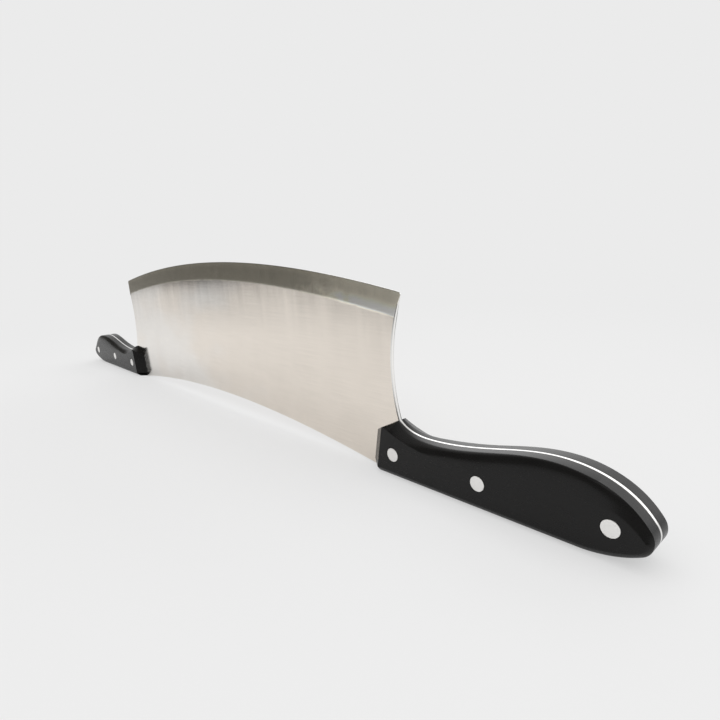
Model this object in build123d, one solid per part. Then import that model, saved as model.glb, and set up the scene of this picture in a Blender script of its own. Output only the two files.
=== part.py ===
from build123d import *
from math import asin, cos, sin
import os

# A two-handled meat cleaver: one steel blade with a full tang at each end, and handle scales
# riveted to both sides of each tang. The origin is under the middle of the blade, on the plane
# of the straight handle backs. +X runs along the blade, +Z points from the handle backs to the
# cutting edge, and Y is across the blade's thickness, with the front at -Y. Sizes are in
# millimetres.

# Blade
blade_thickness = 2.5
edge_half_chord = 180.0
edge_corner_height = 91.5
edge_crown_height = 107.6
edge_corner_round = 1.5
edge_land = 0.3
grind_width = 12.6
spine_half_chord = 160.2
spine_rise = 11.3
waist = (172.6, 57.0)

# The outline of a handle, from the heel of the blade over the palm and round the butt
heel = (176.6, 28.0)
heel_hollow = (181.0, 25.0)
neck = (199.0, 22.4)
palm_rise = (229.0, 26.6)
palm_crown = (260.5, 31.5)
palm_fall = (283.5, 26.2)
butt_shoulder = (294.6, 16.3)
butt_heel = (292.6, 6.2)
back_end = (270.0, 0.0)

# Handle scales. Their front end is a ramp down to the blade, and it leans over the handle.
handle_thickness = 17.0
scale_front = 156.5
scale_front_height = 17.4
front_corner_cut = 5.0
ramp_foot = 157.8
ramp_run = 1.24
ramp_lean = 0.18
side_round = 4.2

# Two-part rivets: a headed shank in a headed tube
rivet_places = {"inner": (178.2, 12.4), "middle": (227.5, 12.9), "outer": (282.2, 13.7)}
head_diameter = 7.0
head_depth = 1.6
tube_diameter = 5.0
tube_bore_diameter = 3.3
tube_end_gap = 0.5
shank_diameter = 3.2
shank_end_gap = 0.8
clearance = 0.05

half_blade = blade_thickness / 2
half_handle = handle_thickness / 2
head_seat = half_handle - head_depth
edge_rise = edge_crown_height - edge_corner_height
edge_radius = (edge_half_chord ** 2 + edge_rise ** 2) / (2 * edge_rise)
edge_centre_height = edge_crown_height - edge_radius
spine_radius = (spine_half_chord ** 2 + spine_rise ** 2) / (2 * spine_rise)
spine_centre_height = spine_rise - spine_radius


def on_arc(radius, centre_height, half_chord):
    """The point halfway between an arc's crown, at x = 0, and its end at this half chord."""
    angle = asin(half_chord / radius) / 2
    return (radius * sin(angle), centre_height + radius * cos(angle))


def handle_curve():
    """A handle's palm side, butt and the rise behind its straight back, as three edges."""
    palm = Spline(heel, heel_hollow, neck, palm_rise, palm_crown, palm_fall, butt_shoulder)
    butt = TangentArc(butt_shoulder, butt_heel, tangent=palm % 1)
    back_rise = TangentArc(back_end, butt_heel, tangent=(1, 0))
    return [palm, butt, back_rise]


def upright(face):
    """Stand a face that is drawn in X and Y up in the XZ plane."""
    return Plane.XZ * face


def rod(place, radius, from_y, to_y):
    """A round rod across the handle at place, an (x, z) pair, between two values of y."""
    x, z = place
    return Pos(x, (from_y + to_y) / 2, z) * Rot(X=90) * Cylinder(radius, abs(to_y - from_y))


def grind():
    """The ring of metal that grinding takes off the back of the blade, along the edge."""
    inner = edge_radius - grind_width
    outer = edge_radius + 2
    slope = (half_blade - edge_land / 2) / grind_width
    section = make_face(Polyline(
        (inner, half_blade),
        (outer, half_blade - slope * (outer - inner)),
        (outer, half_blade + 1),
        (inner, half_blade + 1),
        close=True,
    ))
    return Pos(0, 0, edge_centre_height) * revolve(section, Axis.Y)


def make_blade():
    """The blade and its two tangs, ground to an edge and drilled for the rivets."""
    crown = (0, edge_crown_height)
    corner = (edge_half_chord, edge_corner_height)
    spine_end = (spine_half_chord, 0)
    spine_middle = (0, spine_rise)
    half_outline = Curve() + [
        Line(spine_middle, crown),
        ThreePointArc(crown, on_arc(edge_radius, edge_centre_height, edge_half_chord), corner),
        ThreePointArc(corner, waist, heel),
        *handle_curve(),
        Line(back_end, spine_end),
        ThreePointArc(spine_end, on_arc(spine_radius, spine_centre_height, spine_half_chord), spine_middle),
    ]
    half_face = make_face(half_outline)
    face = half_face + mirror(half_face, about=Plane.YZ)
    blade = extrude(upright(face), half_blade, both=True)
    corners = blade.edges().filter_by(Axis.Y).filter_by_position(
        Axis.Z, edge_corner_height - 1, edge_corner_height + 1
    )
    blade = fillet(corners, edge_corner_round)
    blade -= grind() + mirror(grind(), about=Plane.XZ)
    for x, z in rivet_places.values():
        for side in (-1, 1):
            blade -= rod((side * x, z), tube_diameter / 2 + clearance, -half_blade - 1, half_blade + 1)
    return blade


def make_scale():
    """The front scale of the right handle, bored for the rivets with a seat for each head."""
    outline = Curve() + [
        Line(back_end, (scale_front + front_corner_cut, 0)),
        Line((scale_front + front_corner_cut, 0), (scale_front, front_corner_cut)),
        Line((scale_front, front_corner_cut), (scale_front, scale_front_height)),
        Line((scale_front, scale_front_height), heel),
        *handle_curve(),
    ]
    profile = upright(make_face(outline))
    scale = Pos(0, -half_blade, 0) * extrude(profile, half_handle - half_blade)
    ramp = Plane(origin=(ramp_foot, -half_blade, 0), z_dir=(1, ramp_run, -ramp_lean))
    scale = split(scale, bisect_by=ramp, keep=Keep.TOP)
    side = scale.edges().group_by(Axis.Y)[0]
    palm = side.filter_by(GeomType.BSPLINE)
    scale = fillet(palm, side_round)
    for place in rivet_places.values():
        scale -= rod(place, tube_diameter / 2 + clearance, -half_handle, 0)
        scale -= rod(place, head_diameter / 2 + clearance, -half_handle - 1, -head_seat)
    return scale


def make_rivet_shank(place):
    """The front half of a rivet: a flush head on a solid shank."""
    shank_end = head_seat - shank_end_gap
    return (
        rod(place, head_diameter / 2, -half_handle, -head_seat)
        + rod(place, shank_diameter / 2, -head_seat, shank_end)
    )


def make_rivet_tube(place):
    """The back half of a rivet: a flush head on a tube that takes the shank."""
    tube_end = -head_seat + tube_end_gap
    return (
        rod(place, head_diameter / 2, half_handle, head_seat)
        + rod(place, tube_diameter / 2, head_seat, tube_end)
        - rod(place, tube_bore_diameter / 2, head_seat, tube_end)
    )


scale = make_scale()
parts = {"blade": make_blade()}
for end, side in (("right", 1), ("left", -1)):
    front_scale = scale if side == 1 else mirror(scale, about=Plane.YZ)
    parts[f"{end}_front_scale"] = front_scale
    parts[f"{end}_back_scale"] = mirror(front_scale, about=Plane.XZ)
    for name, (x, z) in rivet_places.items():
        parts[f"{end}_{name}_rivet_shank"] = make_rivet_shank((side * x, z))
        parts[f"{end}_{name}_rivet_tube"] = make_rivet_tube((side * x, z))

os.makedirs("parts", exist_ok=True)
for name, shape in parts.items():
    export_step(shape, f"parts/{name}.step")
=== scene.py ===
import math

import bmesh
import bpy
import numpy as np
from bpy.props import FloatProperty, FloatVectorProperty, PointerProperty
from mathutils import Matrix, Vector


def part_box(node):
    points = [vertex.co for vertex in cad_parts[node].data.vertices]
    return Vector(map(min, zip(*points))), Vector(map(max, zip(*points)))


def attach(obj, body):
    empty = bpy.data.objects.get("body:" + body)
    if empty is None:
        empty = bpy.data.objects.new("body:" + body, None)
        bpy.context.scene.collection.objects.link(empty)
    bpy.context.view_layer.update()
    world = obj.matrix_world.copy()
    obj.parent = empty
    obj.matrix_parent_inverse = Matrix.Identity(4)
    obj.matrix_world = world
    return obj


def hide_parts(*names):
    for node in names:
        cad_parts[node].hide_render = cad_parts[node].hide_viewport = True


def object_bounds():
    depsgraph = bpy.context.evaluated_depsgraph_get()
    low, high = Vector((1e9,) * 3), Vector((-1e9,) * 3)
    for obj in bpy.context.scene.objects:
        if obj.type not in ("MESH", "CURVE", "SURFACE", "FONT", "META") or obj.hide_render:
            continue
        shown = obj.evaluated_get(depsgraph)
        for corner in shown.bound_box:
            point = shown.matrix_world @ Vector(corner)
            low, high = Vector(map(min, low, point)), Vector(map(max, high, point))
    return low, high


bl_info = {
    "name": "Two-handled meat cleaver",
    "version": (1, 0, 0),
    "blender": (4, 5, 0),
    "location": "3D View > Sidebar > Cleaver",
    "description": "Builds a meat cleaver with a riveted handle at each end of its blade",
    "category": "Add Mesh",
}

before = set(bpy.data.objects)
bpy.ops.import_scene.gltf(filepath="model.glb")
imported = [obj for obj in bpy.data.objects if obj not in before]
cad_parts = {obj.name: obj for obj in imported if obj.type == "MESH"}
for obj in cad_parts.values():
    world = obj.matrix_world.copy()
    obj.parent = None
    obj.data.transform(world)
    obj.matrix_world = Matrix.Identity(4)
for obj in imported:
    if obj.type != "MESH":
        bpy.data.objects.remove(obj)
cad_low, cad_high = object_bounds()
blade_low, blade_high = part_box("blade")
scale_low, scale_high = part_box("right_back_scale")
head_low, head_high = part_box("right_inner_rivet_shank")

MM = 0.001
ENDS = {"right": 1, "left": -1}
SIDES = {"front": -1, "back": 1}
RIVETS = ("inner", "middle", "outer")

# Outline of the blade, in millimetres: x along it from its middle, z up from the handle backs.
edge_corner = (180.0, 91.5)
edge_corner_round = 1.5
waist = (172.6, 57.0)
spine_half_chord = 160.2
spine_rise = 11.3

# Outline of a handle, from the heel of the blade over the palm and round the butt.
heel = (176.6, 28.0)
palm_points = (
    heel, (181.0, 25.0), (199.0, 22.4), (229.0, 26.6), (260.5, 31.5), (283.5, 26.2), (294.6, 16.3),
)
butt_heel = (292.6, 6.2)
back_end = (270.0, 0.0)

# Front end of a scale: a ramp down to the blade, which leans over the handle, and a cut lower corner.
# The cut overlaps the outline by a little, so that no sliver is left.
front_foot = (156.5, 5.0)
front_top = (156.5, 17.4)
front_cut = (161.5, 0.0)
ramp_foot = 157.8
ramp_run = 1.24
ramp_lean = 0.18
corner_overlap = 0.02
front_shoulder = 2.0

# Last points of a scale's outline on its straight back and on its upper front slope.
back_front = 163.5
slope_last = 166.0

# Crease where the rolled shoulder of a scale meets its side face, from the ramp to the butt.
crease_points = (
    (172.3, 25.7), (182.3, 21.8), (195.2, 19.0), (209.3, 17.8), (224.0, 17.4),
    (240.0, 18.7), (256.0, 20.7), (270.0, 21.3), (284.0, 19.6), (290.0, 16.0), (293.9, 12.4),
)

# Stage, in metres. The tent is a dome that is open behind tent_back, up to the top of its opening, and
# its cloth turns from dark to pale between two values of y.
floor_radius = 40.0
floor_gap = 0.05 * MM
tent_radius = 1.9
tent_back = 0.05
tent_opening_top = 1.35
tent_dark_until = -0.65
tent_pale_from = 0.10
dark_cloth = (0.15, 0.144, 0.132)
pale_cloth = (0.62, 0.61, 0.60)

# Soft lights: name, place, target, size, power in watts, and whether gloss shows it.
soft_lights = (
    ("back_light", (-0.3, 2.7, 1.2), (0.0, 0.0, 0.05), (5.5, 1.9), 31.0, True),
    ("right_light", (1.0, -0.9, 1.15), (0.25, 0.0, 0.02), (1.2, 1.0), 4.6, True),
    ("top_light", (0.0, -0.2, 1.6), (0.0, 0.0, 0.0), (3.0, 3.0), 26.0, False),
)


# Settings

class StageSettings(bpy.types.PropertyGroup):
    camera_place: FloatVectorProperty(
        name="Camera Place", description="Where the camera stands", size=3,
        default=(0.3446, -0.1781, 0.1139), subtype="TRANSLATION", unit="LENGTH",
    )
    camera_yaw: FloatProperty(
        name="Camera Yaw", description="Turn of the view from the handles' line towards the back",
        default=math.radians(42.31), subtype="ANGLE", unit="ROTATION",
    )
    camera_pitch: FloatProperty(
        name="Camera Pitch", description="How far the camera looks down",
        default=math.radians(12.53), subtype="ANGLE", unit="ROTATION",
    )
    camera_roll: FloatProperty(
        name="Camera Roll", description="Tilt of the camera about its line of sight",
        default=math.radians(2.99), subtype="ANGLE", unit="ROTATION",
    )
    focal_length: FloatProperty(
        name="Focal Length", description="Focal length of the lens",
        default=25.725, unit="CAMERA",
    )
    backdrop_colour: FloatVectorProperty(
        name="Backdrop Colour", description="Colour of the floor and of everything behind it", size=3,
        default=(0.831, 0.831, 0.831), subtype="COLOR", min=0, max=1,
    )
    shadow_share: FloatProperty(
        name="Shadow Share", description="How much of the floor's brightness shadows can take away",
        default=0.4, min=0, max=1, subtype="FACTOR",
    )
    reflected_shadow_share: FloatProperty(
        name="Reflected Shadow Share",
        description="The same share where the floor is seen in a reflection",
        default=0.9, min=0, max=1, subtype="FACTOR",
    )


class BladeSettings(bpy.types.PropertyGroup):
    thickness: FloatProperty(
        name="Thickness", description="Thickness of the blade and its tangs",
        default=blade_high.y - blade_low.y, unit="LENGTH",
    )
    edge_land: FloatProperty(
        name="Edge Land", description="Thickness left at the cutting edge",
        default=0.3 * MM, unit="LENGTH",
    )
    grind_width: FloatProperty(
        name="Grind Width", description="Width of the ground band along the cutting edge",
        default=12.6 * MM, unit="LENGTH",
    )
    edge_ease: FloatProperty(
        name="Edge Ease", description="Size of the softened corner round the outline",
        default=0.2 * MM, unit="LENGTH",
    )
    steel_colour: FloatVectorProperty(
        name="Steel Colour", description="Colour of the blade's steel", size=3,
        default=(0.83, 0.765, 0.69), subtype="COLOR", min=0, max=1,
    )
    cool_colour: FloatVectorProperty(
        name="Cool Colour", description="Colour of the steel where its haze is cooler", size=3,
        default=(0.84, 0.81, 0.77), subtype="COLOR", min=0, max=1,
    )
    rim_colour: FloatVectorProperty(
        name="Rim Colour", description="Colour of the polished steel round the outline", size=3,
        default=(0.95, 0.94, 0.92), subtype="COLOR", min=0, max=1,
    )
    ground_colour: FloatVectorProperty(
        name="Ground Colour", description="Colour of the freshly ground steel along the edge", size=3,
        default=(0.60, 0.57, 0.49), subtype="COLOR", min=0, max=1,
    )


class HandleSettings(bpy.types.PropertyGroup):
    flat_half_width: FloatProperty(
        name="Flat Half Width",
        description="Where the flat top of a scale starts to roll over, from the middle",
        default=4.8 * MM, unit="LENGTH",
    )
    swell_half_width: FloatProperty(
        name="Swell Half Width", description="The same distance at the swell of the palm side",
        default=6.5 * MM, unit="LENGTH",
    )
    bottom_chamfer: FloatProperty(
        name="Bottom Chamfer", description="Size of the chamfer along the straight back",
        default=3.3 * MM, unit="LENGTH",
    )
    butt_chamfer: FloatProperty(
        name="Butt Chamfer", description="Size of the chamfer round the butt",
        default=2.0 * MM, unit="LENGTH",
    )
    corner_softness: FloatProperty(
        name="Corner Softness", description="Width of the small rounds on sharp corners",
        default=0.3 * MM, unit="LENGTH",
    )
    seat_gap: FloatProperty(
        name="Seat Gap", description="Gap round each rivet head",
        default=0.12 * MM, unit="LENGTH",
    )
    plastic_colour: FloatVectorProperty(
        name="Plastic Colour", description="Colour of the handle scales", size=3,
        default=(0.0065, 0.0062, 0.006), subtype="COLOR", min=0, max=1,
    )


class RivetSettings(bpy.types.PropertyGroup):
    head_diameter: FloatProperty(
        name="Head Diameter", description="Diameter of a rivet head",
        default=head_high.x - head_low.x, unit="LENGTH",
    )
    head_depth: FloatProperty(
        name="Head Depth", description="Depth of a rivet head",
        default=1.6 * MM, unit="LENGTH",
    )
    squareness: FloatProperty(
        name="Squareness", description="How square the head's section is: 2 is round, and more is flatter",
        default=16.0, min=2, max=40,
    )
    metal_colour: FloatVectorProperty(
        name="Metal Colour", description="Colour of the rivets", size=3,
        default=(0.90, 0.89, 0.87), subtype="COLOR", min=0, max=1,
    )


class CleaverSettings(bpy.types.PropertyGroup):
    stage: PointerProperty(type=StageSettings, name="Stage", description="Camera, floor and lights")
    blade: PointerProperty(type=BladeSettings, name="Blade", description="Blade sizes and colours")
    handle: PointerProperty(type=HandleSettings, name="Handle", description="Scale sizes and colours")
    rivet: PointerProperty(type=RivetSettings, name="Rivet", description="Rivet sizes and colours")


# Curves in the plane of the blade, as arrays of (x, z) points

def lengths_along(points):
    """Length of the run from the first point to each point."""
    steps = np.linalg.norm(np.diff(points, axis=0), axis=1)
    return np.concatenate([[0.0], np.cumsum(steps)])


def line(start, end, count):
    """Evenly spaced points from start to end."""
    return np.linspace(start, end, count)


def on_circle(centre, radius, angles):
    """Points of a circle at the given angles."""
    angles = np.asarray(angles)
    return np.asarray(centre) + radius * np.stack([np.cos(angles), np.sin(angles)], axis=-1)


def angle_at(centre, point):
    """Angle of a point seen from a centre."""
    return math.atan2(point[1] - centre[1], point[0] - centre[0])


def tangent_arc(start, direction, end, count):
    """Arc that leaves start in the given direction and passes through end."""
    start, end = np.array(start, float), np.array(end, float)
    left = np.array([-direction[1], direction[0]]) / np.hypot(*direction)
    chord = end - start
    radius = chord @ chord / (2 * chord @ left)
    centre = start + radius * left
    first = angle_at(centre, start)
    turn = math.copysign(1, radius)
    sweep = turn * ((turn * (angle_at(centre, end) - first)) % (2 * math.pi))
    return on_circle(centre, abs(radius), first + np.linspace(0, sweep, count))


def circle_through(a, b, c):
    """Centre and radius of the circle through three points."""
    a, b, c = (np.array(p, float) for p in (a, b, c))
    rows = 2 * np.array([b - a, c - a])
    centre = np.linalg.solve(rows, [b @ b - a @ a, c @ c - a @ a])
    return centre, np.linalg.norm(a - centre)


def circles_meet(centre_a, radius_a, centre_b, radius_b, near):
    """The point nearest to near where two circles cross."""
    apart = np.subtract(centre_b, centre_a)
    distance = np.linalg.norm(apart)
    along = (distance ** 2 + radius_a ** 2 - radius_b ** 2) / (2 * distance)
    across = math.sqrt(radius_a ** 2 - along ** 2)
    ahead = apart / distance
    sideways = np.array([-ahead[1], ahead[0]])
    found = [centre_a + ahead * along + sideways * across * sign for sign in (1, -1)]
    return min(found, key=lambda point: np.linalg.norm(point - near))


def smooth_curve(points, shares):
    """Points of the smooth cubic curve through the given points, at shares of its length."""
    points = np.array(points, float)
    knots = lengths_along(points)
    spans = np.diff(knots)
    last = len(points) - 1
    system = np.zeros((last + 1, last + 1))
    goal = np.zeros((last + 1, 2))
    for end, nearest in ((0, slice(0, 4)), (last, slice(last - 3, last + 1))):
        system[end, end] = 1
        cubic = np.polyfit(knots[nearest] - knots[end], points[nearest], 3)
        goal[end] = cubic[2]
    for i in range(1, last):
        before, after = spans[i - 1], spans[i]
        system[i, i - 1:i + 2] = 1 / before, 2 / before + 2 / after, 1 / after
        steps = np.diff(points[i - 1:i + 2], axis=0)
        goal[i] = 3 * (steps[0] / before ** 2 + steps[1] / after ** 2)
    slopes = np.linalg.solve(system, goal)
    where = np.asarray(shares) * knots[-1]
    span = np.clip(np.searchsorted(knots, where, side="right") - 1, 0, last - 1)
    width = spans[span][:, None]
    t = (where - knots[span])[:, None] / width
    return (
        points[span] * (1 + 2 * t) * (1 - t) ** 2
        + points[span + 1] * t ** 2 * (3 - 2 * t)
        + slopes[span] * width * t * (1 - t) ** 2
        - slopes[span + 1] * width * t ** 2 * (1 - t)
    )


def inward(points):
    """Unit normals to the right of a run of points, or to the inside of a clockwise outline."""
    along = np.gradient(points, axis=0)
    across = np.stack([along[:, 1], -along[:, 0]], axis=1)
    return across / np.linalg.norm(across, axis=1)[:, None]


def palm_curve(count):
    """The palm side of the right handle, from the heel to the butt."""
    return smooth_curve(palm_points, np.linspace(0, 1, count))


def butt_curve(count):
    """The round of the butt, on from the palm side."""
    end = palm_curve(400)[-2:]
    return tangent_arc(end[1], end[1] - end[0], butt_heel, count)


def back_rise_curve(count):
    """The rise from the end of the straight back to the butt."""
    return tangent_arc(back_end, (1, 0), butt_heel, count)


def smoothstep(value, low, high):
    """0 below low, 1 above high, and a smooth rise between."""
    t = np.clip((value - low) / (high - low), 0, 1)
    return t * t * (3 - 2 * t)


# Meshes

def new_object(name, mesh):
    """An object for the mesh, linked to the scene."""
    piece = bpy.data.objects.new(name, mesh)
    bpy.context.scene.collection.objects.link(piece)
    return piece


def mesh_from(shape, name):
    """A mesh datablock from a bmesh, with its faces turned outwards."""
    bmesh.ops.recalc_face_normals(shape, faces=shape.faces)
    mesh = bpy.data.meshes.new(name)
    shape.to_mesh(mesh)
    shape.free()
    return mesh


def baked(source):
    """A plain copy of an object with its modifiers in its mesh, which takes its place and name."""
    graph = bpy.context.evaluated_depsgraph_get()
    mesh = bpy.data.meshes.new_from_object(source.evaluated_get(graph))
    name = source.name
    bpy.data.objects.remove(source)
    mesh.name = name
    return new_object(name, mesh)


def shade(piece, angle):
    """Smooth shading that stops at edges sharper than the angle and keeps large faces flat."""
    piece.data.shade_smooth()
    piece.data.set_sharp_from_angle(angle=angle)
    weighted = piece.modifiers.new("Even Normals", "WEIGHTED_NORMAL")
    weighted.keep_sharp = True
    return baked(piece)


def add_tree_modifier(piece, tree, values):
    """A Geometry Nodes modifier, with its inputs set by the identifiers of their sockets."""
    modifier = piece.modifiers.new(tree.name, "NODES")
    modifier.node_group = tree
    for item in tree.interface.items_tree:
        if item.item_type == "SOCKET" and item.in_out == "INPUT" and item.name in values:
            modifier[item.identifier] = values[item.name]


# Node trees

class Wire:
    """An output of a node. Arithmetic on wires that carry numbers adds Math nodes."""

    def __init__(self, maker, socket):
        self.maker = maker
        self.socket = socket

    def of(self, name):
        """Another output of the same node."""
        return Wire(self.maker, open_socket(self.socket.node.outputs, name))

    def math(self, operation, *values):
        return self.maker.math(operation, self, *values)

    def __add__(self, other):
        return self.math("ADD", other)

    def __radd__(self, other):
        return self.math("ADD", other)

    def __sub__(self, other):
        return self.math("SUBTRACT", other)

    def __rsub__(self, other):
        return self.maker.math("SUBTRACT", other, self)

    def __mul__(self, other):
        return self.math("MULTIPLY", other)

    def __rmul__(self, other):
        return self.math("MULTIPLY", other)

    def __truediv__(self, other):
        return self.math("DIVIDE", other)

    def __pow__(self, other):
        return self.math("POWER", other)


def open_socket(sockets, key):
    """The socket in use with this name, or at this place."""
    if isinstance(key, int):
        return sockets[key]
    return next(socket for socket in sockets if socket.name == key and socket.enabled)


class TreeMaker:
    """Adds nodes to a tree."""

    def __init__(self, tree):
        self.tree = tree

    def node(self, kind, settings=None, inputs=None):
        """A node with its settings, then the values or links of its sockets. Gives its first output."""
        node = self.tree.nodes.new(kind)
        for name, value in (settings or {}).items():
            setattr(node, name, value)
        for key, value in (inputs or {}).items():
            socket = open_socket(node.inputs, key)
            if isinstance(value, Wire):
                self.tree.links.new(value.socket, socket)
            else:
                socket.default_value = value
        shown = [socket for socket in node.outputs if socket.enabled]
        return Wire(self, shown[0]) if shown else None

    def math(self, operation, *values):
        """A Math node."""
        return self.node("ShaderNodeMath", {"operation": operation}, dict(enumerate(values)))

    def vector(self, operation, *values):
        """A Vector Math node."""
        return self.node("ShaderNodeVectorMath", {"operation": operation}, dict(enumerate(values)))

    def parts(self, vector):
        """The x, y and z of a vector."""
        split = self.node("ShaderNodeSeparateXYZ", None, {"Vector": vector})
        return split, split.of("Y"), split.of("Z")

    def rise(self, value, low, high):
        """0 below low, 1 above high, and a smooth rise between."""
        return self.node(
            "ShaderNodeMapRange", {"interpolation_type": "SMOOTHSTEP"},
            {"Value": value, "From Min": low, "From Max": high},
        )

    def blend(self, share, first, second):
        """A colour between two others."""
        return self.node(
            "ShaderNodeMix", {"data_type": "RGBA"}, {"Factor": share, "A": first, "B": second},
        )

    def tint(self, colour, level):
        """A colour made lighter or darker by a number."""
        grey = self.node("ShaderNodeCombineColor", None, {"Red": level, "Green": level, "Blue": level})
        return self.node(
            "ShaderNodeMix", {"data_type": "RGBA", "blend_type": "MULTIPLY"},
            {"Factor": 1.0, "A": colour, "B": grey},
        )

    def noise(self, place, grain, detail=3.0, roughness=0.55):
        """Noise whose grain has these sizes along x, y and z, in metres."""
        spread = self.vector("MULTIPLY", place, [1 / size for size in grain])
        return self.node(
            "ShaderNodeTexNoise", None,
            {"Vector": spread, "Scale": 1.0, "Detail": detail, "Roughness": roughness},
        )

    def bump(self, height, depth, strength=1.0):
        """Normals for a surface as rough as this height times the depth."""
        return self.node(
            "ShaderNodeBump", None, {"Strength": strength, "Distance": depth, "Height": height},
        )


def new_material(name, surface):
    """A material whose surface is made by a function that takes a tree maker."""
    material = bpy.data.materials.new(name)
    material.use_nodes = True
    material.node_tree.nodes.clear()
    maker = TreeMaker(material.node_tree)
    maker.node("ShaderNodeOutputMaterial", None, {"Surface": surface(maker)})
    return material


def object_place(maker):
    """Object coordinates."""
    return maker.node("ShaderNodeTexCoord").of("Object")


def rgba(colour):
    """A colour with full alpha."""
    return (*colour, 1.0)


# Blade

def edge_circle():
    """Centre and radius of the cutting edge's arc, in millimetres."""
    crown = blade_high.z / MM
    rise = crown - edge_corner[1]
    radius = (edge_corner[0] ** 2 + rise ** 2) / (2 * rise)
    return np.array([0, crown - radius]), radius


def blade_side_runs(settings):
    """The right side of the blade as outline points and the same points moved in by the edge ease.

    The first run goes down past the ground band, from the cutting edge to the grind line. The
    second goes on down the side, round the handle and along the tang to the end of the spine.
    """
    ease = settings.edge_ease / MM
    edge_centre, edge_radius = edge_circle()
    side_centre, side_radius = circle_through(edge_corner, waist, heel)
    round_centre = circles_meet(
        edge_centre, edge_radius - edge_corner_round,
        side_centre, side_radius + edge_corner_round, edge_corner,
    )
    round_start = angle_at(edge_centre, round_centre)
    round_end = angle_at(side_centre, round_centre) - math.pi
    round_angles = np.linspace(round_start, round_end, 6)
    grind_radius = edge_radius - settings.grind_width / MM
    grind_end = circles_meet(edge_centre, grind_radius, side_centre, side_radius + ease, edge_corner)
    side_start = angle_at(side_centre, round_centre) % (2 * math.pi)
    side_grind = angle_at(side_centre, grind_end) % (2 * math.pi)
    side_heel = angle_at(side_centre, heel) % (2 * math.pi)
    band_angles = np.linspace(side_start, side_grind, 9)[1:]
    side_angles = np.linspace(side_grind, side_heel, 24)[1:]
    band = np.concatenate([
        on_circle(round_centre, edge_corner_round, round_angles),
        on_circle(side_centre, side_radius, band_angles),
    ])
    band_in = np.concatenate([
        on_circle(round_centre, edge_corner_round - ease, round_angles),
        on_circle(side_centre, side_radius + ease, band_angles),
    ])
    rest = np.concatenate([
        on_circle(side_centre, side_radius, side_angles),
        palm_curve(70)[1:],
        butt_curve(14)[1:],
        back_rise_curve(10)[-2::-1],
        line(back_end, (spine_half_chord, 0), 12)[1:],
    ])
    return band, band_in, rest, rest + inward(rest) * ease


def spine_run(settings):
    """The hollow spine from its right end to its left end, and the same points moved in."""
    radius = (spine_half_chord ** 2 + spine_rise ** 2) / (2 * spine_rise)
    centre = np.array([0, spine_rise - radius])
    first = angle_at(centre, (spine_half_chord, 0))
    angles = np.linspace(first, math.pi - first, 80)[1:-1]
    return on_circle(centre, radius, angles), on_circle(centre, radius + settings.edge_ease / MM, angles)


def mirrored(run):
    """The same run on the left, walked the other way."""
    return run[::-1] * (-1, 1)


def blade_plate(settings):
    """The blade's outline and grind rows as a plate one unit thick to each side of its middle.

    The node tree gives the plate its thickness and its materials.
    """
    edge_centre, _ = edge_circle()
    band, band_in, rest, rest_in = blade_side_runs(settings)
    spine, spine_in = spine_run(settings)
    columns = 180
    spread = np.linspace(-1, 1, columns + 1)
    rim_share = 1 - settings.edge_ease / (settings.thickness / 2)

    def row(end):
        half = math.pi / 2 - angle_at(edge_centre, end)
        return on_circle(edge_centre, np.linalg.norm(end - edge_centre), math.pi / 2 - spread * half)

    rows = [row(end) for end in band_in]
    edge = row(band[0])
    outline = np.concatenate([edge, band[1:], rest, spine, mirrored(rest), mirrored(band[1:])])
    eased = np.concatenate([
        rows[0], band_in[1:], rest_in, spine_in, mirrored(rest_in), mirrored(band_in[1:]),
    ])
    shape = bmesh.new()

    def ring(points, y):
        return [shape.verts.new((x * MM, y, z * MM)) for x, z in points]

    def strip(first, second):
        for i in range(len(first)):
            shape.faces.new((first[i - 1], first[i], second[i], second[i - 1]))

    rims = [ring(outline, side * rim_share) for side in (-1, 1)]
    strip(*rims)
    after_edge = columns + 1
    depth = len(band)
    for side, rim in zip((-1, 1), rims):
        face_ring = ring(eased, side)
        strip(rim, face_ring)
        right = face_ring[after_edge:after_edge + depth - 1]
        left = face_ring[::-1][:depth - 1]
        upper = face_ring[:after_edge]
        for points, left_end, right_end in zip(rows[1:], left, right):
            lower = [left_end, *ring(points[1:-1], side), right_end]
            for i in range(columns):
                shape.faces.new((upper[i], upper[i + 1], lower[i + 1], lower[i]))
            upper = lower
        body = shape.faces.new(upper + face_ring[after_edge + depth - 1:len(face_ring) - depth + 1])
        body.normal_update()
        bmesh.ops.triangulate(shape, faces=[body], ngon_method="BEAUTY")
    return new_object("cleaver_blade", mesh_from(shape, "cleaver_blade"))


def group_input(tree, name, kind, default=None):
    """A named input of a node tree."""
    socket = tree.interface.new_socket(name=name, in_out="INPUT", socket_type=kind)
    if default is not None:
        socket.default_value = default


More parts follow.
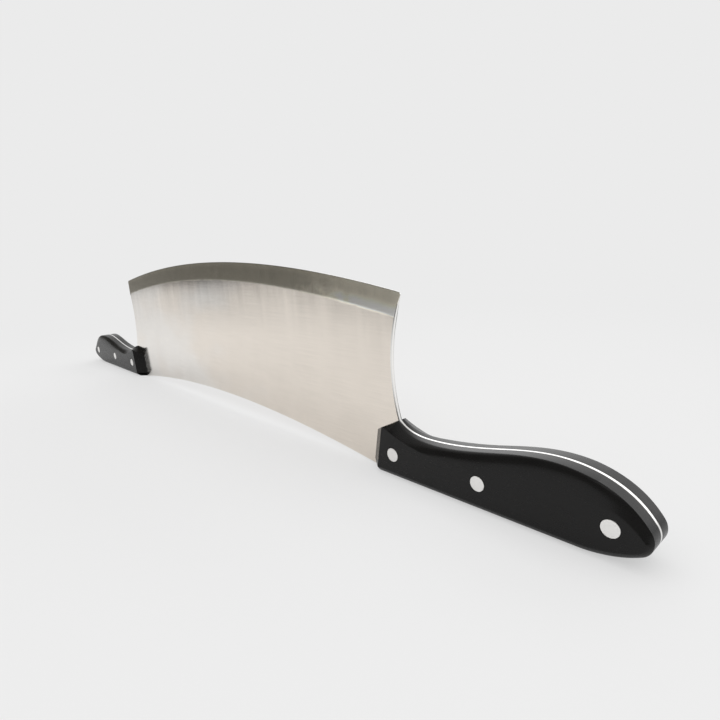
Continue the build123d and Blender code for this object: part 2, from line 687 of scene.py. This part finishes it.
def grind_tree(face_material, rim_material):
    """Gives a plate its thickness: even over the body, and falling to the land along the edge."""
    tree = bpy.data.node_groups.new("Grind Plate", "GeometryNodeTree")
    group_input(tree, "Plate", "NodeSocketGeometry")
    for name in ("Thickness", "Edge Land", "Grind Width", "Edge Radius", "Edge Centre Height"):
        group_input(tree, name, "NodeSocketFloat", 0.0)
    tree.interface.new_socket(name="Blade", in_out="OUTPUT", socket_type="NodeSocketGeometry")
    maker = TreeMaker(tree)
    given = maker.node("NodeGroupInput")
    x, y, z = maker.parts(maker.node("GeometryNodeInputPosition"))
    above = z - given.of("Edge Centre Height")
    depth = given.of("Edge Radius") - (x * x + above * above) ** 0.5
    half_land = given.of("Edge Land") / 2
    half_plate = given.of("Thickness") / 2
    ground = half_land + (half_plate - half_land) * depth / given.of("Grind Width")
    half = ground.math("MINIMUM", half_plate)
    place = maker.node("ShaderNodeCombineXYZ", None, {"X": x, "Y": y * half, "Z": z})
    shaped = maker.node(
        "GeometryNodeSetPosition", None, {"Geometry": given.of("Plate"), "Position": place},
    )
    _, across, _ = maker.parts(maker.node("GeometryNodeInputNormal"))
    is_rim = maker.node(
        "FunctionNodeCompare", {"data_type": "FLOAT", "operation": "LESS_THAN"},
        {"A": across.math("ABSOLUTE"), "B": 0.9},
    )
    real = maker.node("GeometryNodeRealizeInstances", None, {"Geometry": shaped})
    faced = maker.node("GeometryNodeSetMaterial", None, {"Geometry": real, "Material": face_material})
    rimmed = maker.node(
        "GeometryNodeSetMaterial", None, {"Geometry": faced, "Selection": is_rim, "Material": rim_material}
    )
    maker.node("NodeGroupOutput", None, {"Blade": rimmed})
    return tree


def blade_steel(settings):
    """Brushed steel with smudges and cloudy streaks of painted shade below the grind line, and a ground
    band of crosswise scratches along the edge, with painted light towards its right end.
    """
    edge_centre, edge_radius = edge_circle()

    def surface(maker):
        place = object_place(maker)
        x, _, z = maker.parts(place)
        above = z - float(edge_centre[1]) * MM
        depth = float(edge_radius) * MM - (x * x + above * above) ** 0.5
        wobble = maker.noise(place, (0.012, 1, 0.004)) - 0.5
        off_grind = (depth - settings.grind_width) / (1.2 * MM) + wobble * 2.0
        ground = 1 - maker.rise(off_grind, -0.5, 0.5)

        clouds = maker.noise(place, (0.016, 1, 0.075), 2.0)
        smudges = maker.noise(place, (0.022, 1, 0.020), 4.0, 0.6)
        brushing = maker.noise(place, (0.030, 1, 0.0005), 2.0)
        streaks = maker.noise(place, (0.005, 1, 0.080), 3.0, 0.6)
        # Painted shade: below the grind line and across the middle of the blade, the face is darkened in
        # cloudy streaks. This stands in for a dark reflection.
        painted_shade_near_grind = 1 - maker.rise(depth + (smudges - 0.5) * 30 * MM, 12 * MM, 56 * MM)
        middle = 1 - maker.rise((x + 0.015).math("ABSOLUTE"), 0.010, 0.110)
        painted_shade_under_grind = 1 - maker.rise(depth, 12 * MM, 26 * MM)
        # haze is this painted shade, shaped by the cloud and streak patterns; the smudges are the steel's
        # own marks.
        haze = painted_shade_near_grind * (clouds * 0.26 + middle * 0.20 + (streaks - 0.5) * 0.18) + painted_shade_under_grind * 0.10
        face_level = 1.03 - haze - (smudges - 0.5) * 0.14 - (brushing - 0.5) * 0.16
        warm = maker.noise(place, (0.090, 1, 0.060), 2.0) + x * 1.2
        warmth = maker.rise(warm, 0.28, 0.52)
        tone = maker.blend(warmth, rgba(settings.cool_colour), rgba(settings.steel_colour))
        face = maker.tint(tone, face_level)

        scratches = maker.noise(place, (0.0006, 1, 0.012), 3.0)
        stains = maker.noise(place, (0.010, 1, 0.006), 4.0, 0.65)
        # Painted light: the ground band is made lighter towards the right end of the blade, more so away
        # from the edge.
        painted_light_right_end = maker.rise(x + (stains - 0.5) * 0.06, 0.095, 0.15)
        thin = 1 - maker.rise(depth, 0.5 * MM, 4.5 * MM)
        burr = 1 - maker.rise(depth, 0.10 * MM, 0.35 * MM)
        painted_light_band = painted_light_right_end * (0.50 + 0.50 * maker.rise(depth, 5 * MM, 10 * MM))
        band_level = 0.66 + scratches * 0.44 + stains * 0.26 + painted_light_band + thin * 0.20 - burr * 0.5
        band = maker.tint(rgba(settings.ground_colour), band_level)

        grain = brushing * (1 - ground) * 0.4 + scratches * ground
        return maker.node("ShaderNodeBsdfPrincipled", None, {
            "Base Color": maker.blend(ground, face, band),
            "Metallic": 1.0,
            "Roughness": 0.10 + smudges * 0.07 + ground * 0.12,
            "Normal": maker.bump(grain, 0.02 * MM, 0.5),
        })

    return new_material("Brushed blade steel", surface)


def rim_steel(settings):
    """Polished steel for the narrow faces round the outline, darkened with painted shade along the tang's
    edge beside each scale.
    """

    def surface(maker):
        place = object_place(maker)
        marks = maker.noise(place, (0.0009, 1, 0.0009), 3.0)
        x, y, _ = maker.parts(place)
        patches = maker.noise(place, (0.030, 1, 0.030), 2.0)
        on_tang = maker.rise(x.math("ABSOLUTE"), 0.171, 0.178)
        from_middle = y.math("ABSOLUTE") + (patches - 0.5) * 0.5 * MM
        # Painted shade: the outer parts of the tang's edge, next to the scales, are made much darker.
        painted_shade_by_scale = maker.rise(from_middle, 0.42 * MM, 0.66 * MM)
        level = 0.95 + marks * 0.10 - on_tang * (painted_shade_by_scale * 0.90 + (1 - painted_shade_by_scale) * patches * 0.20)
        return maker.node("ShaderNodeBsdfPrincipled", None, {
            "Base Color": maker.tint(rgba(settings.rim_colour), level),
            "Metallic": 1.0,
            "Roughness": 0.16 + marks * 0.10,
            "Normal": maker.bump(marks, 0.01 * MM, 0.4),
        })

    return new_material("Polished rim steel", surface)


# Handle scales

def inset(points, distances):
    """A run moved to its right by these distances."""
    return points + inward(points) * np.asarray(distances)[:, None]


def scale_ribs(settings):
    """The ribs round a scale of the right handle, clockwise from the ramp over the palm.

    Each rib has a point on the tang's outline, a point on the side face's outline, the half width
    at which it starts to roll, and how full the roll is.
    """
    chamfer = settings.bottom_chamfer / MM
    butt_chamfer = settings.butt_chamfer / MM
    flat = settings.flat_half_width / MM
    swell = settings.swell_half_width / MM
    side = scale_high.y / MM
    butt = butt_curve(19)
    slope = np.subtract(heel, front_top)
    corner = np.add(front_top, slope * (crease_points[0][0] - front_top[0]) / slope[0])
    top = np.concatenate([line(corner, heel, 5), palm_curve(84)[1:], butt[1:8]])
    share = lengths_along(top) / lengths_along(top)[-1]
    crease = smooth_curve([corner, *crease_points[1:]], share)
    fullness = smoothstep(share, 0.10, 0.34) * (1 - smoothstep(share, 0.76, 0.93))

    low = np.concatenate([butt[8:], back_rise_curve(14)[-2::-1], line(back_end, (back_front, 0), 19)[1:]])
    travel = lengths_along(low)
    cut = butt_chamfer + (chamfer - butt_chamfer) * smoothstep(travel, 0, 24)
    low_side = inset(low, cut)

    slope_top = front_top[1] + (slope_last - front_top[0]) * slope[1] / slope[0]
    front = np.array([front_cut, front_foot, front_top, (slope_last, slope_top)])
    outer = np.concatenate([top, low, front])
    side_line = np.concatenate([crease, low_side, front])
    roll_start = np.concatenate([
        np.interp(
            share, [0, 0.25, 0.45, 0.75, 1], [front_shoulder, flat, flat, swell, side - butt_chamfer],
        ),
        side - cut,
        np.full(len(front), flat),
    ])
    roll = np.concatenate([0.12 + 0.80 * fullness, np.full(len(low), 0.30), np.zeros(len(front))])
    return outer, side_line, roll_start, roll


def cut_off(shape, place, direction):
    """Cuts off what is behind a plane and closes the cut. Gives the new faces."""
    bmesh.ops.bisect_plane(
        shape, geom=shape.verts[:] + shape.edges[:] + shape.faces[:],
        plane_co=place, plane_no=direction, clear_inner=True,
    )
    closed = bmesh.ops.holes_fill(shape, edges=[e for e in shape.edges if e.is_boundary], sides=0)
    bmesh.ops.recalc_face_normals(shape, faces=shape.faces)
    return closed["faces"]


def make_scale(name, end, side, settings):
    """One handle scale, at one end of the blade and on one side of it.

    The cut at the lower front corner has material 1, and all the rest has material 0.
    """
    outer, side_line, roll_start, roll = scale_ribs(settings)
    inner_y = scale_low.y / MM
    side_y = scale_high.y / MM
    steps = 8
    layers = [(outer, np.full(len(outer), inner_y)), (outer, roll_start)]
    for t in np.linspace(0, 1, steps + 1)[1:]:
        flat_start = (1 - t) ** 2
        pull = 2 * t * (1 - t)
        control = outer + (side_line - outer) * (1 - roll[:, None]) / 2
        control_y = roll_start + (side_y - roll_start) * (1 + roll) / 2
        layers.append((
            outer * flat_start + control * pull + side_line * t ** 2,
            roll_start * flat_start + control_y * pull + side_y * t ** 2,
        ))
    layers.append((inset(side_line, np.full(len(side_line), 0.5)), np.full(len(outer), side_y)))

    shape = bmesh.new()
    rings = [
        [shape.verts.new((x * MM * end, y * MM * side, z * MM)) for (x, z), y in zip(points, heights)]
        for points, heights in layers
    ]
    for first, second in zip(rings, rings[1:]):
        for i in range(len(first)):
            shape.faces.new((first[i - 1], first[i], second[i], second[i - 1]))
    shape.faces.new(rings[0])
    shape.faces.new(rings[-1])
    bmesh.ops.recalc_face_normals(shape, faces=shape.faces)

    ramp_place = (ramp_foot * MM * end, inner_y * MM * side, 0)
    cut_off(shape, ramp_place, (end, -ramp_run * side, -ramp_lean))
    corner_place = ((front_cut[0] + corner_overlap) * MM * end, inner_y * MM * side, 0)
    for face in cut_off(shape, corner_place, (end, -ramp_run * side, 1)):
        face.material_index = 1
    sharp_angle = math.radians(36)
    off_tang = (inner_y + 0.01) * MM
    sharp = [
        edge for edge in shape.edges
        if edge.calc_face_angle(0) > sharp_angle and max(abs(vert.co.y) for vert in edge.verts) > off_tang
    ]
    bmesh.ops.bevel(
        shape, geom=sharp, offset=settings.corner_softness, offset_type="OFFSET",
        segments=2, profile=0.5, affect="EDGES", clamp_overlap=True, material=-1,
    )
    return new_object(name, mesh_from(shape, name))


def cut_seats(piece, end, side, settings, rivet):
    """Cuts the seats of the three rivet heads into a scale."""
    shape = bmesh.new()
    radius = rivet.head_diameter / 2 + settings.seat_gap
    for name in RIVETS:
        centre = rivet_place(name, end)
        place = Matrix.Translation((centre.x, side * scale_high.y, centre.z))
        seat = place @ Matrix.Rotation(math.pi / 2, 4, "X")
        bmesh.ops.create_cone(
            shape, cap_ends=True, segments=64, radius1=radius, radius2=radius,
            depth=2 * rivet.head_depth + 0.1 * MM, matrix=seat,
        )
    cutter = new_object("seat_cutter", mesh_from(shape, "seat_cutter"))
    cut = piece.modifiers.new("Rivet Seats", "BOOLEAN")
    cut.operation = "DIFFERENCE"
    cut.solver = "EXACT"
    cut.object = cutter
    piece = baked(piece)
    bpy.data.objects.remove(cutter)
    return piece


def sawn_plastic(settings):
    """The same plastic where the lower corner was sawn off: matt, and a little rough."""

    def surface(maker):
        marks = maker.noise(object_place(maker), (0.0006, 0.0006, 0.004), 3.0, 0.6)
        return maker.node("ShaderNodeBsdfPrincipled", None, {
            "Base Color": maker.tint(rgba(settings.plastic_colour), 0.4 + marks * 0.4),
            "Roughness": 0.62,
            "Specular IOR Level": 0.0,
            "Normal": maker.bump(marks, 0.05 * MM, 0.5),
        })

    return new_material("Sawn handle plastic", surface)


def handle_plastic(settings):
    """Moulded black plastic with a fine grain, faint rubbed streaks and a satin sheen."""

    def surface(maker):
        place = object_place(maker)
        grain = maker.noise(place, (0.0005, 0.0005, 0.0005), 3.0, 0.6)
        rubs = maker.noise(place, (0.012, 0.0012, 0.003), 4.0, 0.65)
        clouds = maker.noise(place, (0.020, 0.008, 0.010), 3.0)
        return maker.node("ShaderNodeBsdfPrincipled", None, {
            "Base Color": maker.tint(rgba(settings.plastic_colour), 0.7 + clouds * 0.6),
            "Roughness": 0.17 + rubs * 0.16 + clouds * 0.06,
            "Specular IOR Level": 0.23,
            "Normal": maker.bump(grain * 0.7 + rubs * 0.3, 0.03 * MM, 0.5),
        })

    return new_material("Black handle plastic", surface)


# Rivets

def rivet_place(name, end):
    """Centre of a rivet's front face."""
    low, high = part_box(f"{'right' if end > 0 else 'left'}_{name}_rivet_shank")
    return Vector(((low.x + high.x) / 2, low.y, (low.z + high.z) / 2))


def rivet_tree(material):
    """Puts a flat, soft-cornered metal head on each point."""
    tree = bpy.data.node_groups.new("Rivet Heads", "GeometryNodeTree")
    group_input(tree, "Points", "NodeSocketGeometry")
    for name in ("Head Diameter", "Head Depth", "Squareness"):
        group_input(tree, name, "NodeSocketFloat", 0.0)
    tree.interface.new_socket(name="Heads", in_out="OUTPUT", socket_type="NodeSocketGeometry")
    maker = TreeMaker(tree)
    given = maker.node("NodeGroupInput")
    ball = maker.node("GeometryNodeMeshUVSphere", None, {"Segments": 56, "Rings": 28, "Radius": 1.0})
    x, y, z = maker.parts(maker.node("GeometryNodeInputPosition"))
    power = maker.math("DIVIDE", 2.0, given.of("Squareness"))
    reach = ((x * x + y * y) ** 0.5).math("MAXIMUM", 0.0001)
    widen = reach ** (power - 1) * given.of("Head Diameter") / 2
    flatten = z.math("ABSOLUTE") ** power * z.math("SIGN") * given.of("Head Depth") / 2
    place = maker.node("ShaderNodeCombineXYZ", None, {"X": x * widen, "Y": flatten, "Z": y * widen})
    head = maker.node("GeometryNodeSetPosition", None, {"Geometry": ball, "Position": place})
    heads = maker.node(
        "GeometryNodeInstanceOnPoints", None, {"Points": given.of("Points"), "Instance": head},
    )
    real = maker.node("GeometryNodeRealizeInstances", None, {"Geometry": heads})
    finished = maker.node("GeometryNodeSetMaterial", None, {"Geometry": real, "Material": material})
    maker.node("NodeGroupOutput", None, {"Heads": finished})
    return tree


def rivet_metal(settings):
    """Satin aluminium with faint sanding lines."""

    def surface(maker):
        place = object_place(maker)
        sanding = maker.noise(place, (0.004, 1, 0.00015), 2.0)
        blotches = maker.noise(place, (0.0022, 1, 0.0022), 3.0, 0.6)
        return maker.node("ShaderNodeBsdfPrincipled", None, {
            "Base Color": maker.tint(rgba(settings.metal_colour), 0.90 + sanding * 0.10 + blotches * 0.10),
            "Metallic": 1.0,
            "Roughness": 0.24 + blotches * 0.16,
            "Normal": maker.bump(sanding, 0.02 * MM, 0.4),
        })

    return new_material("Satin rivet metal", surface)


# Stage

def camera_turn(settings):
    """The camera's axes as a rotation: X to the right of the frame, Y up it, and Z backwards."""
    yaw, pitch, roll = settings.camera_yaw, settings.camera_pitch, settings.camera_roll
    ahead = Vector((
        -math.cos(yaw) * math.cos(pitch),
        math.sin(yaw) * math.cos(pitch),
        -math.sin(pitch),
    ))
    right = Vector((math.sin(yaw), math.cos(yaw), 0))
    down = ahead.cross(right)
    tilted_right = right * math.cos(roll) + down * math.sin(roll)
    tilted_down = down * math.cos(roll) - right * math.sin(roll)
    return Matrix((tilted_right, -tilted_down, -ahead)).transposed()


def add_camera(settings):
    """The camera."""
    camera = bpy.data.objects.new("camera", bpy.data.cameras.new("camera"))
    camera.data.lens = settings.focal_length
    camera.data.clip_start = 0.01
    camera.data.clip_end = 200
    camera.matrix_world = Matrix.Translation(settings.camera_place) @ camera_turn(settings).to_4x4()
    bpy.context.scene.collection.objects.link(camera)
    bpy.context.scene.camera = camera


def seen_share(maker):
    """1 for rays from the camera, off gloss or through glass, and 0 for rays that light a matt surface."""
    path = maker.node("ShaderNodeLightPath")
    shown = path.of("Is Camera Ray").math("MAXIMUM", path.of("Is Glossy Ray"))
    return shown.math("MAXIMUM", path.of("Is Transmission Ray"))


def add_world(settings):
    """A pale backdrop all round, which lights the object at half its brightness."""
    world = bpy.data.worlds.new("studio")
    world.use_nodes = True
    world.node_tree.nodes.clear()
    maker = TreeMaker(world.node_tree)
    strength = 0.5 + 0.5 * seen_share(maker)
    light = maker.node(
        "ShaderNodeBackground", None, {"Color": rgba(settings.backdrop_colour), "Strength": strength},
    )
    maker.node("ShaderNodeOutputWorld", None, {"Surface": light})
    bpy.context.scene.world = world


def add_floor(settings):
    """A pale floor that keeps soft shadows near the object and melts into the backdrop."""
    shape = bmesh.new()
    bmesh.ops.create_circle(shape, cap_ends=True, segments=96, radius=floor_radius)
    bmesh.ops.translate(shape, verts=shape.verts, vec=(0, 0, cad_low.z - floor_gap))
    floor = new_object("floor", mesh_from(shape, "floor"))
    if floor.data.polygons[0].normal.z < 0:
        floor.data.flip_normals()

    def surface(maker):
        colour = rgba(settings.backdrop_colour)
        x, y, _ = maker.parts(object_place(maker))
        away = (x * x + y * y) ** 0.5
        near = 1 - maker.rise(away, 0.30, 0.80)
        seen = seen_share(maker)
        glow = maker.node("ShaderNodeEmission", None, {"Color": colour, "Strength": seen})
        matt = maker.node("ShaderNodeBsdfDiffuse", None, {"Color": colour})
        in_gloss = maker.node("ShaderNodeLightPath").of("Is Glossy Ray")
        extra = settings.reflected_shadow_share - settings.shadow_share
        share = seen * (1 - near * (in_gloss * extra + settings.shadow_share))
        return maker.node("ShaderNodeMixShader", None, {0: share, 1: matt, 2: glow})

    floor.data.materials.append(new_material("Pale floor", surface))


def add_dark_tent():
    """Dark cloth over the front of the stage, paler towards the top, seen only in reflections."""
    shape = bmesh.new()
    bmesh.ops.create_uvsphere(shape, u_segments=48, v_segments=36, radius=tent_radius)

    def is_open(centre):
        return centre.z < 0 or (centre.y > tent_back and centre.z < tent_opening_top)

    open_back = [face for face in shape.faces if is_open(face.calc_center_median())]
    bmesh.ops.delete(shape, geom=open_back, context="FACES")
    tent = new_object("dark_tent", mesh_from(shape, "dark_tent"))
    tent.visible_camera = False
    tent.visible_diffuse = False
    tent.visible_shadow = False

    def surface(maker):
        _, y, _ = maker.parts(object_place(maker))
        dark = maker.node("ShaderNodeEmission", None, {"Color": rgba(dark_cloth)})
        pale = maker.node("ShaderNodeEmission", None, {"Color": rgba(pale_cloth)})
        share = maker.rise(y, tent_dark_until, tent_pale_from)
        return maker.node("ShaderNodeMixShader", None, {0: share, 1: dark, 2: pale})

    tent.data.materials.append(new_material("Dark cloth", surface))


def add_soft_light(name, place, target, size, power, in_gloss):
    """A rectangular soft light that the camera doesn't see."""
    light = bpy.data.lights.new(name, "AREA")
    light.shape = "RECTANGLE"
    light.size, light.size_y = size
    light.energy = power
    lamp = bpy.data.objects.new(name, light)
    lamp.location = place
    lamp.rotation_euler = (Vector(target) - Vector(place)).to_track_quat("-Z", "Y").to_euler()
    lamp.visible_camera = False
    lamp.visible_glossy = in_gloss
    bpy.context.scene.collection.objects.link(lamp)


# Operators

class CLEAVER_OT_add_stage(bpy.types.Operator):
    """Add the camera, the floor, the backdrop and the lights"""
    bl_idname = "cleaver.add_stage"
    bl_label = "Add Stage"

    def execute(self, context):
        settings = context.scene.cleaver.stage
        context.scene.view_settings.view_transform = "Standard"
        add_camera(settings)
        add_world(settings)
        add_floor(settings)
        add_dark_tent()
        for light in soft_lights:
            add_soft_light(*light)
        return {"FINISHED"}


class CLEAVER_OT_add_blade(bpy.types.Operator):
    """Add the ground steel blade with its two tangs"""
    bl_idname = "cleaver.add_blade"
    bl_label = "Add Blade"

    def execute(self, context):
        settings = context.scene.cleaver.blade
        edge_centre, edge_radius = edge_circle()
        plate = blade_plate(settings)
        tree = grind_tree(blade_steel(settings), rim_steel(settings))
        add_tree_modifier(plate, tree, {
            "Thickness": settings.thickness,
            "Edge Land": settings.edge_land,
            "Grind Width": settings.grind_width,
            "Edge Radius": float(edge_radius) * MM,
            "Edge Centre Height": float(edge_centre[1]) * MM,
        })
        blade = shade(baked(plate), math.radians(30))
        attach(blade, "root")
        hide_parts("blade")
        return {"FINISHED"}


class CLEAVER_OT_add_scales(bpy.types.Operator):
    """Add the four handle scales"""
    bl_idname = "cleaver.add_scales"
    bl_label = "Add Handle Scales"

    def execute(self, context):
        settings = context.scene.cleaver.handle
        plastics = (handle_plastic(settings), sawn_plastic(settings))
        for end_name, end in ENDS.items():
            for side_name, side in SIDES.items():
                node = f"{end_name}_{side_name}_scale"
                piece = make_scale(f"{node}_body", end, side, settings)
                for plastic in plastics:
                    piece.data.materials.append(plastic)
                piece = cut_seats(piece, end, side, settings, context.scene.cleaver.rivet)
                piece = shade(piece, math.radians(32))
                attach(piece, "root")
                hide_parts(node)
        return {"FINISHED"}


class CLEAVER_OT_add_rivets(bpy.types.Operator):
    """Add the twelve rivet heads"""
    bl_idname = "cleaver.add_rivets"
    bl_label = "Add Rivets"

    def execute(self, context):
        settings = context.scene.cleaver.rivet
        places = []
        for end in ENDS.values():
            for side in SIDES.values():
                for name in RIVETS:
                    centre = rivet_place(name, end)
                    places.append((centre.x, side * (scale_high.y - settings.head_depth / 2), centre.z))
        mesh = bpy.data.meshes.new("rivet_points")
        mesh.from_pydata(places, [], [])
        points = new_object("rivet_heads", mesh)
        metal = rivet_metal(settings)
        add_tree_modifier(points, rivet_tree(metal), {
            "Head Diameter": settings.head_diameter,
            "Head Depth": settings.head_depth,
            "Squareness": settings.squareness,
        })
        heads = shade(baked(points), math.radians(60))
        heads.data.materials.clear()
        heads.data.materials.append(metal)
        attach(heads, "root")
        halves = ("shank", "tube")
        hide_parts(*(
            f"{end}_{name}_rivet_{half}" for end in ENDS for name in RIVETS for half in halves
        ))
        return {"FINISHED"}


class CLEAVER_PT_build(bpy.types.Panel):
    """The steps that build the cleaver and its stage"""
    bl_idname = "CLEAVER_PT_build"
    bl_label = "Meat Cleaver"
    bl_space_type = "VIEW_3D"
    bl_region_type = "UI"
    bl_category = "Cleaver"

    def draw(self, context):
        for operator in OPERATORS:
            self.layout.operator(operator.bl_idname)


OPERATORS = (CLEAVER_OT_add_stage, CLEAVER_OT_add_blade, CLEAVER_OT_add_scales, CLEAVER_OT_add_rivets)
CLASSES = (
    StageSettings, BladeSettings, HandleSettings, RivetSettings, CleaverSettings,
    *OPERATORS, CLEAVER_PT_build,
)


def register():
    for cls in CLASSES:
        bpy.utils.register_class(cls)
    bpy.types.Scene.cleaver = PointerProperty(type=CleaverSettings)


def unregister():
    del bpy.types.Scene.cleaver
    for cls in reversed(CLASSES):
        bpy.utils.unregister_class(cls)


def main():
    register()
    bpy.ops.cleaver.add_stage()
    bpy.ops.cleaver.add_blade()
    bpy.ops.cleaver.add_scales()
    bpy.ops.cleaver.add_rivets()


if __name__ == "__main__":
    main()
